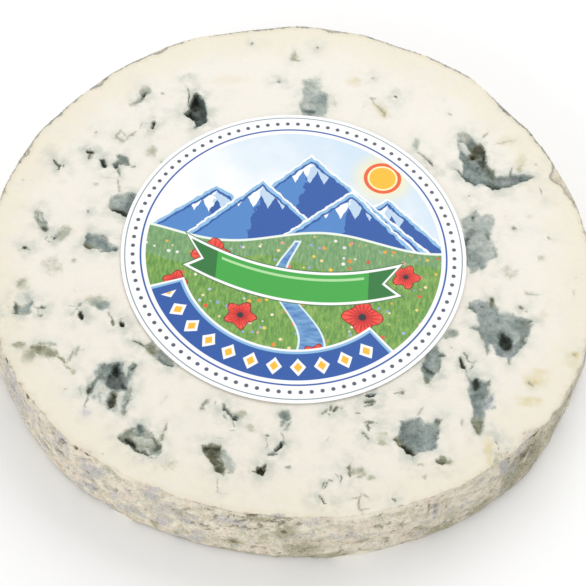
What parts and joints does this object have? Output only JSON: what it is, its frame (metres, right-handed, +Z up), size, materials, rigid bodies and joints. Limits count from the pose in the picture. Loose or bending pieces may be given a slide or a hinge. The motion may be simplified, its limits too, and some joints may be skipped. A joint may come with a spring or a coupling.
{
  "type": "round slice of blue cheese",
  "caption": "Whole round slice cut across a tall natural-rind blue cheese: ivory paste with blue-grey mould pockets, a grey-beige rind and a round paper label on the top cut face.",
  "frame": {"origin": "middle of the underside, the cut face that the slice lies on", "axes": "+Z up through the slice's thickness, +X along its widest way, +Y towards the top of the label"},
  "size_m": [0.1342, 0.1307, 0.018],
  "materials": {
    "cheese": "moist matte ivory paste with blue-grey mould pockets; dry grey-beige rind on the standing side",
    "label": null
  },
  "bodies": {
    "root": {"cheese": "cheese", "label": "label"}
  },
  "joints": []
}
